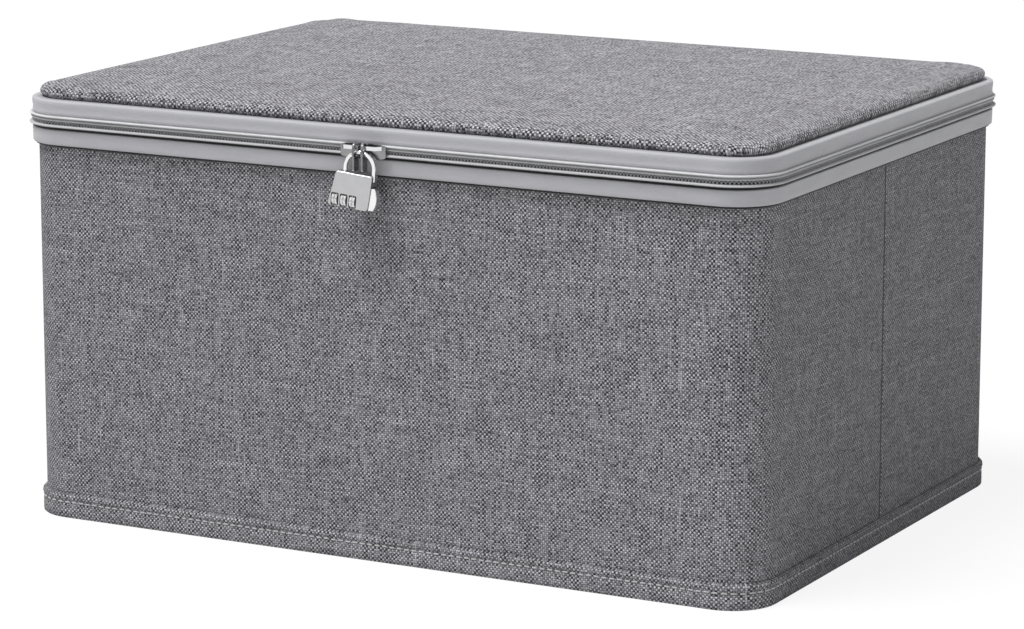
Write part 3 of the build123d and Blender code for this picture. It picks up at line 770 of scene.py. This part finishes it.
# %% Zip teeth
TOOTH_PITCH = 1.7
TOOTH_OUT = 2.35
ZIP_LEGS = [("line", ZIP_RETURN, (CORE_X - ZIP_RETURN, HALF_Y), 0.0),
            ("arc", QUARTER, (CORE_X, CORE_Y), math.pi / 2),
            ("line", 2 * CORE_Y, (HALF_X, CORE_Y), -math.pi / 2),
            ("arc", QUARTER, (CORE_X, -CORE_Y), 0.0),
            ("line", 2 * CORE_X, (CORE_X, -HALF_Y), math.pi),
            ("arc", QUARTER, (-CORE_X, -CORE_Y), -math.pi / 2),
            ("line", 2 * CORE_Y, (-HALF_X, -CORE_Y), math.pi / 2),
            ("arc", QUARTER, (-CORE_X, CORE_Y), math.pi),
            ("line", ZIP_RETURN, (-CORE_X, HALF_Y), 0.0)]
ZIP_LENGTH = 2 * ZIP_RETURN + 4 * QUARTER + 4 * CORE_Y + 2 * CORE_X


def zip_spot(distance):
    """Place on the wall face and heading, a distance along the zip from its right end."""
    for kind, length, place, angle in ZIP_LEGS:
        if distance <= length:
            break
        distance -= length
    if kind == "line":
        return Vector(place) + distance * Vector((math.cos(angle), math.sin(angle))), angle
    turn = angle - distance / CORNER
    return Vector(place) + CORNER * Vector((math.cos(turn), math.sin(turn))), turn - math.pi / 2


def block_pattern(name, size, edge):
    """A small block with its edges taken off, to be set down many times."""
    form = bmesh.new()
    add_block(form, size)
    take_off_edges(form, edge)
    return mesh_of(form, name)


def set_down(form, pattern, place):
    """Add a copy of a pattern, moved by a matrix."""
    first = len(form.verts)
    form.from_mesh(pattern)
    form.verts.ensure_lookup_table()
    bmesh.ops.transform(form, matrix=place, verts=form.verts[first:])


def stand_out(spot, heading, out, height):
    """The matrix for a small piece that stands out from the wall face at a spot."""
    place = spot + out * Vector((-math.sin(heading), math.cos(heading)))
    return Matrix.Translation((*place, height)) @ Matrix.Rotation(heading, 4, "Z")


def teeth_row(low, high, shift):
    """A row of teeth between two heights."""
    form = bmesh.new()
    pattern = block_pattern("tooth", (0.95, 1.5, high - low), 0.16)
    for number in range(int((ZIP_LENGTH - 4) / TOOTH_PITCH)):
        spot, heading = zip_spot(2 + (number + shift) * TOOTH_PITCH)
        set_down(form, pattern, stand_out(spot, heading, TOOTH_OUT, (low + high) / 2))
    return form


for side, body, low, shift in (("lower", "box", 196.2, 0.0), ("upper", "lid", 197.2, 0.5)):
    finish_piece(side + "_zip_teeth", teeth_row(low, low + 1.3, shift), body, tooth_plastic,
                 [side + "_zip_coil"], smooth=False)

# %% [markdown]
# ## The padded lid
# A sheet of foam lies on the lid board under the cloth, and the cloth is drawn down to a seam all
# round. The form starts as a flat plate with round corners, is extruded up through a few outlines,
# and is cut into a net. A short cloth simulation with a little air pressure then lets it swell
# between its seams as the foam does.

# %% Slabs with round corners


def rounded_outline(form, inset, height):
    """One flat face with round corners, a distance inside the wall face."""
    corners = bmesh.ops.create_grid(form, x_segments=1, y_segments=1, size=1)["verts"]
    bmesh.ops.scale(form, verts=corners, vec=(HALF_X - inset, HALF_Y - inset, 1))
    bmesh.ops.translate(form, verts=corners, vec=(0, 0, height))
    bmesh.ops.bevel(form, geom=corners, offset=CORNER - inset, offset_type="OFFSET",
                    segments=CORNER_STEPS, profile=0.5, affect="VERTICES", material=-1)
    return form.faces[:][-1]


def raise_outline(form, face, old_inset, inset, rise):
    """Extrude a flat outline up and shrink it to a new inset."""
    made = bmesh.ops.extrude_face_region(form, geom=[face])["geom"]
    bmesh.ops.delete(form, geom=[face], context="FACES_ONLY")
    points = [g for g in made if isinstance(g, bmesh.types.BMVert)]
    shrink = ((HALF_X - inset) / (HALF_X - old_inset), (HALF_Y - inset) / (HALF_Y - old_inset), 1)
    bmesh.ops.scale(form, verts=points, vec=shrink)
    bmesh.ops.translate(form, verts=points, vec=(0, 0, rise))
    return next(g for g in made if isinstance(g, bmesh.types.BMFace))


def closed_slab(sections):
    """A solid built up through (inset, height) outlines. The first one's copy stays as its bottom."""
    form = bmesh.new()
    inset, height = sections[0]
    face = rounded_outline(form, inset, height)
    face.copy()
    for new_inset, new_height in sections[1:]:
        face = raise_outline(form, face, inset, new_inset, new_height - height)
        inset, height = new_inset, new_height
    bmesh.ops.remove_doubles(form, verts=form.verts, dist=0.001)
    return form


def cut_net(form, spacing):
    """Cut a form into a net with upright planes across and along."""
    for axis, half in ((0, HALF_X), (1, HALF_Y)):
        count = int(2 * half / spacing)
        for step in range(1, count):
            spot = [0, 0, 0]
            spot[axis] = -half + 2 * half * step / count
            direction = [0, 0, 0]
            direction[axis] = 1
            bmesh.ops.bisect_plane(form, geom=form.verts[:] + form.edges[:] + form.faces[:],
                                   plane_co=spot, plane_no=direction, dist=0.001)


# %% Pad map
ROLL = 7.0


def map_pad(point):
    """Flat on top, and running on down the rolled edge without a break."""
    drop = max(0.0, LID_TOP + ROLL - point.z) * 0.75
    places = []
    for value, limit in ((point.x, HALF_X - ROLL), (point.y, HALF_Y - ROLL)):
        past = max(0.0, abs(value) - limit)
        run = past + drop * min(1.0, past / 4.0)
        places.append(math.copysign(min(abs(value), limit) + run, value) / 1000)
    return places[0], places[1]


# %% Cloth simulation helper
SWELL_CAP = 0.0008
SWELL_FRAMES = 20
FOAM_CLOTH = {"quality": 6, "mass": 0.3, "tension_stiffness": 12, "compression_stiffness": 12,
              "shear_stiffness": 4, "bending_stiffness": 0.6, "use_pressure": True,
              "uniform_pressure_force": 4.0}


def swell(piece):
    """Let a closed cloth form swell from its pinned seam, then keep the result within a cap."""
    start = [v.co.copy() for v in piece.data.vertices]
    seam = piece.vertex_groups.new(name="seam")
    seam.add([v.index for v in piece.data.vertices if v.co.z < (LID_TOP + 0.4) / 1000], 1.0, "REPLACE")
    cloth = piece.modifiers.new("cloth", "CLOTH")
    for label, value in FOAM_CLOTH.items():
        setattr(cloth.settings, label, value)
    cloth.settings.effector_weights.gravity = 0
    cloth.settings.vertex_group_mass = "seam"
    cloth.collision_settings.use_collision = False
    cloth.point_cache.frame_start = 1
    cloth.point_cache.frame_end = SWELL_FRAMES
    scene = bpy.context.scene
    for number in range(1, SWELL_FRAMES + 1):
        scene.frame_set(number)
    result = piece.evaluated_get(bpy.context.evaluated_depsgraph_get())
    moved = [v.co.copy() for v in result.data.vertices]
    piece.modifiers.clear()
    scene.frame_set(1)
    furthest = 0.0
    for point, before, after in zip(piece.data.vertices, start, moved):
        way = after - before
        if way.length > SWELL_CAP:
            way = way * (SWELL_CAP / way.length)
        furthest = max(furthest, way.length)
        point.co = before + way
    piece.vertex_groups.clear()
    print(piece.name, "swelled by at most mm", round(furthest * 1000, 2))


# %% Padded lid cover
pad_sections = [(2.4, 207.98), (1.7, 208.4), (0.8, 209.4), (0.7, 211.0), (1.3, 212.4),
                (2.4, 213.4), (3.9, 213.9), (12.0, 214.4), (28.0, 215.0), (55.0, 215.4)]
form = closed_slab(pad_sections)
cut_net(form, 8.0)
lid_cloth = finish_piece("lid_padded_cloth", form, "lid", lid_melange_painted_light, ["lid_cover", "lid_pad"],
                         rule=map_pad)
swell(lid_cloth)
finer = lid_cloth.modifiers.new("finer", "SUBSURF")
finer.levels = 1
finer.render_levels = 1
finer.boundary_smooth = "PRESERVE_CORNERS"
bpy.context.view_layer.update()
apply_modifiers(lid_cloth)

# %% [markdown]
# ## The hinge ribbon and the zip's ends
# At the back there is no zip for most of the length: one ribbon, sewn above and below, is the hinge.
# It bends between the box and the lid, so it is cut into narrow rows. A small tab
# covers each end of the zip.

# %% Hinge ribbon
hinge_half = HALF_X - CORNER - ZIP_RETURN - 0.4
rows = [189.0 + 0.85 * n for n in range(21)]
hinge_section = [(3.05, up) for up in rows] + [(3.75, up) for up in reversed(rows)]


def back_strip(section, left, right, pieces):
    """A closed strip of one section along the back wall."""
    form = bmesh.new()
    edges = section_edges(form, section, left)
    bmesh.ops.contextual_create(form, geom=edges)
    edges = pull_straight(form, edges, (right - left, 0, 0), pieces)
    bmesh.ops.contextual_create(form, geom=edges)
    return form


hinge = finish_piece("hinge_ribbon", back_strip(hinge_section, -hinge_half, hinge_half, 20), "box",
                     grey_ribbon, ["hinge_ribbon_lower", "hinge_ribbon_upper"])
hinge.parent = None
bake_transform(hinge)
lower_backing = [(0.1, 194.1), (3.0, 194.1), (3.0, 196.6), (2.7, 196.9), (0.1, 196.9)]
upper_backing = [(0.1, 197.9), (2.7, 197.9), (3.0, 198.2), (3.0, 200.6), (0.1, 200.6)]
for name, section, body in (("hinge_backing_lower", lower_backing, "box"),
                            ("hinge_backing_upper", upper_backing, "lid")):
    finish_piece(name, back_strip(section, -hinge_half, hinge_half, 8), body, grey_ribbon)

# %% Zip end tabs
TAB_WIDTH = 7.0
TAB_GAP = 0.8
tab_section = [(3.0, 189.0), (3.5, 189.1), (3.6, 189.5), (3.55, 193.6), (3.4, 194.0), (3.0, 194.1)]
tabs = bmesh.new()
for left in (hinge_half + TAB_GAP, -hinge_half - TAB_GAP - TAB_WIDTH):
    tabs.from_mesh(mesh_of(back_strip(tab_section, left, left + TAB_WIDTH, 2), "tab"))
finish_piece("zip_end_folds", tabs, "box", grey_ribbon, ["zip_end_tabs"])

# %% [markdown]
# ## Base, lid edge and linings
# Inside, a thin lining covers the board. These pieces show when the lid is open, and from below.

# %% Flat cloths and linings
base_cloth = finish_piece(
    "base_cloth", closed_slab([(0.3, 0.0), (0.0, 0.2), (0.0, 0.8), (0.3, 1.0)]), "box", melange_cloth,
    ["base_fabric"], rule=map_flat)
floor_lining = finish_piece(
    "floor_lining", closed_slab([(3.6, 3.5), (3.4, 3.7), (3.4, 4.1), (3.6, 4.3)]), "box", lining_cloth,
    ["base_lining"], rule=map_flat)
wall_lining_section = [(-4.0, 4.3), (-3.2, 4.3), (-3.2, 196.7), (-3.5, 196.95), (-3.8, 196.9),
                       (-4.0, 196.6)]
wall_lining = finish_piece("wall_lining_cloth", strip_round(wall_lining_section), "box", lining_cloth,
                           ["wall_lining"])
lid_edge_section = [(-1.2, 197.9), (-0.2, 197.9), (0.0, 198.1), (0.0, 205.8), (-1.2, 205.8)]
lid_edge = finish_piece("lid_edge_cloth", strip_round(lid_edge_section), "lid", melange_cloth,
                        ["lid_rim_fabric"])
lid_skirt_section = [(-4.0, 198.1), (-3.8, 197.9), (-3.4, 197.85), (-3.2, 198.0), (-3.2, 205.8),
                     (-4.0, 205.8)]
lid_skirt = finish_piece("lid_lining_skirt", strip_round(lid_skirt_section), "lid", lining_cloth)
lid_lining = finish_piece(
    "lid_lining_cloth", closed_slab([(3.6, 205.0), (3.4, 205.2), (3.4, 205.8)]), "lid", lining_cloth,
    ["lid_lining"], rule=map_flat)

# %% [markdown]
# ## Stitches
# A row of lighter thread runs round the foot binding. One stitch is a short bar with rounded ends,
# set down at an even pitch.

# %% Foot stitches
STITCH_PITCH = 4.0


def wall_spot(distance):
    """Place on the wall face and heading, a distance round from the middle of the back."""
    zip_start = CORE_X - ZIP_RETURN
    if distance < zip_start:
        return Vector((distance, HALF_Y)), 0.0
    if distance > PERIMETER - zip_start:
        return Vector((distance - PERIMETER, HALF_Y)), 0.0
    return zip_spot(distance - zip_start)


def stitches_round(out, height, length, thickness):
    """Stitches laid end to end round the box, each a little out of line."""
    form = bmesh.new()
    pattern = block_pattern("stitch", (length, thickness, thickness * 1.3), thickness * 0.35)
    count = int(PERIMETER / STITCH_PITCH)
    chance = random.Random(5)
    for number in range(count):
        spot, heading = wall_spot((number + 0.5) * PERIMETER / count)
        place = stand_out(spot, heading, out, height + chance.uniform(-0.1, 0.1))
        set_down(form, pattern, place @ Matrix.Rotation(chance.uniform(-0.06, 0.06), 4, "Y"))
    return form


finish_piece("foot_stitches", stitches_round(1.6, 8.1, 2.7, 0.7), "box", stitch_thread)

# %% [markdown]
# ## Painted shadow and numbers on the lock
# The lock is cast zinc. A black line over the top and down both sides of each dial's window is painted
# shadow from the window's edge, and the numbers on the dials are printed black. The black lies a few
# hundredths of a millimetre proud. All of it is laid out upright and then leaned with the lock. The
# numbers turn with their dials.

# %% Painted window shadows and dial numbers
LOCK_PLACE = Matrix.Translation((-1.8, -153.2, 189.556)) @ Matrix.Rotation(math.radians(5), 4, "Y")
LOCK_FACE = -3.2
DIAL_AXIS = -15.5
DIAL_X = [-10.6, -5.85, -1.1]
NUMBER_RADIUS = 3.68
NUMBER_SIZE = 1.9
SIDES = 10


def window_shadow_line(form, middle):
    """A line of painted shadow over the top and down both sides of one window."""
    outline = [(-1.9, -18.3), (-1.9, -13.0), (-1.5, -12.5), (1.7, -12.5), (2.15, -13.0), (2.15, -18.3),
               (1.62, -18.3), (1.62, -13.12), (-1.62, -13.12), (-1.62, -18.3)]
    points = [form.verts.new((middle + x, LOCK_FACE - 0.03, z)) for x, z in outline]
    edges = [form.edges.new(pair) for pair in zip(points, points[1:] + points[:1])]
    face = bmesh.ops.contextual_create(form, geom=edges)["faces"]
    made = bmesh.ops.extrude_face_region(form, geom=face)["geom"]
    points = [g for g in made if isinstance(g, bmesh.types.BMVert)]
    bmesh.ops.translate(form, verts=points, vec=(0, 0.06, 0))


def number_mesh(text):
    """One number as a thin solid, standing at the world's middle."""
    curve = bpy.data.curves.new("number", "FONT")
    curve.body = text
    curve.size = NUMBER_SIZE
    curve.extrude = 0.05
    curve.resolution_u = 3
    curve.align_x = "CENTER"
    curve.align_y = "CENTER"
    holder = bpy.data.objects.new("number", curve)
    made = bpy.data.meshes.new_from_object(holder)
    bpy.data.objects.remove(holder)
    bpy.data.curves.remove(curve)
    return made


def numbers_round(middle, first_number):
    """The numbers 0 to 9 on the flats of one dial."""
    form = bmesh.new()
    for step in range(SIDES):
        angle = 2 * math.pi * (step + 0.5) / SIDES
        rise = math.sin(angle)
        front = math.cos(angle)
        place = Matrix(((1, 0, 0, middle), (0, rise, -front, -NUMBER_RADIUS * front),
                        (0, front, rise, DIAL_AXIS + NUMBER_RADIUS * rise), (0, 0, 0, 1)))
        set_down(form, number_mesh(str((first_number + step) % SIDES)), place)
    bmesh.ops.remove_doubles(form, verts=form.verts, dist=0.0005)
    return form


# Painted shadow: a black line along the top and sides of each dial's window.
window_shadows = bmesh.new()
for middle in DIAL_X:
    window_shadow_line(window_shadows, middle)
bmesh.ops.transform(window_shadows, matrix=LOCK_PLACE, verts=window_shadows.verts)
finish_piece("lock_window_shadows", window_shadows, "lock_case", black_print_and_shadow, rule=map_flat, smooth=False)
for number, (middle, first_number) in enumerate(zip(DIAL_X, (3, 6, 1)), 1):
    form = numbers_round(middle, first_number)
    bmesh.ops.transform(form, matrix=LOCK_PLACE, verts=form.verts)
    finish_piece("dial_%d_numbers" % number, form, "dial_%d" % number, black_print_and_shadow,
                 rule=map_flat, smooth=False)

# %% [markdown]
# ## Floor and light
# The background is plain white. The floor shows its own white to the camera and keeps only a trace of
# the shadow. A broad soft lamp stands high at the front left: the lid is the brightest face, the
# front is next and the right side lies in half shade. Three dark cards stand where only the metal
# sees them, because bright plating needs something dark to mirror.

# %% Stage helpers


def stage_sheet(name, size, material, turn=None):
    """A flat sheet that belongs to the stage and not to the object."""
    form = bmesh.new()
    made = bmesh.ops.create_grid(form, x_segments=1, y_segments=1, size=1)["verts"]
    bmesh.ops.scale(form, verts=made, vec=(*size, 1))
    if turn:
        bmesh.ops.rotate(form, verts=made, cent=(0, 0, 0), matrix=turn)
    sheet = place_object(name, mesh_of(form, name))
    sheet.data.materials.append(material)
    return sheet


def seen_directly(w):
    """1 for the rays that reach the camera straight, by a mirror or through glass."""
    seen = w.node("ShaderNodeLightPath")
    turned = w.sum("MAXIMUM", seen.outputs["Is Glossy Ray"], seen.outputs["Is Transmission Ray"])
    return w.sum("MAXIMUM", seen.outputs["Is Camera Ray"], turned)


# %% Floor
FLOOR_GLOW = 1.04
GLOW_SHARE = 0.84
floor_white = bpy.data.materials.new("floor white")
floor_white.use_nodes = True
w = Wiring(floor_white.node_tree)
w.tree.nodes.clear()
paper = w.node("ShaderNodeBsdfDiffuse")
paper.inputs[0].default_value = (0.75, 0.75, 0.75, 1)
glow = w.node("ShaderNodeEmission")
glow.inputs["Color"].default_value = (1, 1, 1, 1)
glow.inputs["Strength"].default_value = FLOOR_GLOW
mixed = w.node("ShaderNodeMixShader")
w.feed(mixed.inputs[0], w.times(seen_directly(w), GLOW_SHARE))
w.feed(mixed.inputs[1], paper.outputs[0])
w.feed(mixed.inputs[2], glow.outputs[0])
end = w.node("ShaderNodeOutputMaterial")
w.feed(end.inputs["Surface"], mixed.outputs[0])
stage_sheet("floor", (6, 6), floor_white)

# %% World and lamp
SKY_FILL = 0.38
world = bpy.data.worlds.new("studio")
bpy.context.scene.world = world
world.use_nodes = True
w = Wiring(world.node_tree)
w.tree.nodes.clear()
sky = w.node("ShaderNodeBackground")
w.feed(sky.inputs["Color"], (1, 1, 1, 1))
w.feed(sky.inputs["Strength"], w.between(seen_directly(w), 0.0, 1.0, SKY_FILL, 1.0))
end = w.node("ShaderNodeOutputWorld")
w.feed(end.inputs["Surface"], sky.outputs[0])
lamp_data = bpy.data.lights.new("soft key", "SUN")
lamp_data.energy = 2.82
lamp_data.angle = 0.45
lamp = place_object("soft key", lamp_data)
toward = Vector((-0.25, -0.305, 0.92)).normalized()
lamp.rotation_euler = toward.to_track_quat("Z", "Y").to_euler()
bpy.context.scene.view_settings.view_transform = "Standard"

# %% Dark cards for the metal
CARD_SIZE = (0.7, 0.2)
upright = Matrix.Rotation(math.pi / 2, 3, "X")
for spot, turn in (((-1.6, -2.4, 0.22), 0.55), ((2.3, -1.7, 0.22), -1.0), ((-2.6, 0.2, 0.22), 1.5)):
    card = stage_sheet("dark card", CARD_SIZE, card_black, upright)
    card.location = spot
    card.rotation_euler = (0, 0, turn)
    card.visible_camera = False
    card.visible_shadow = False
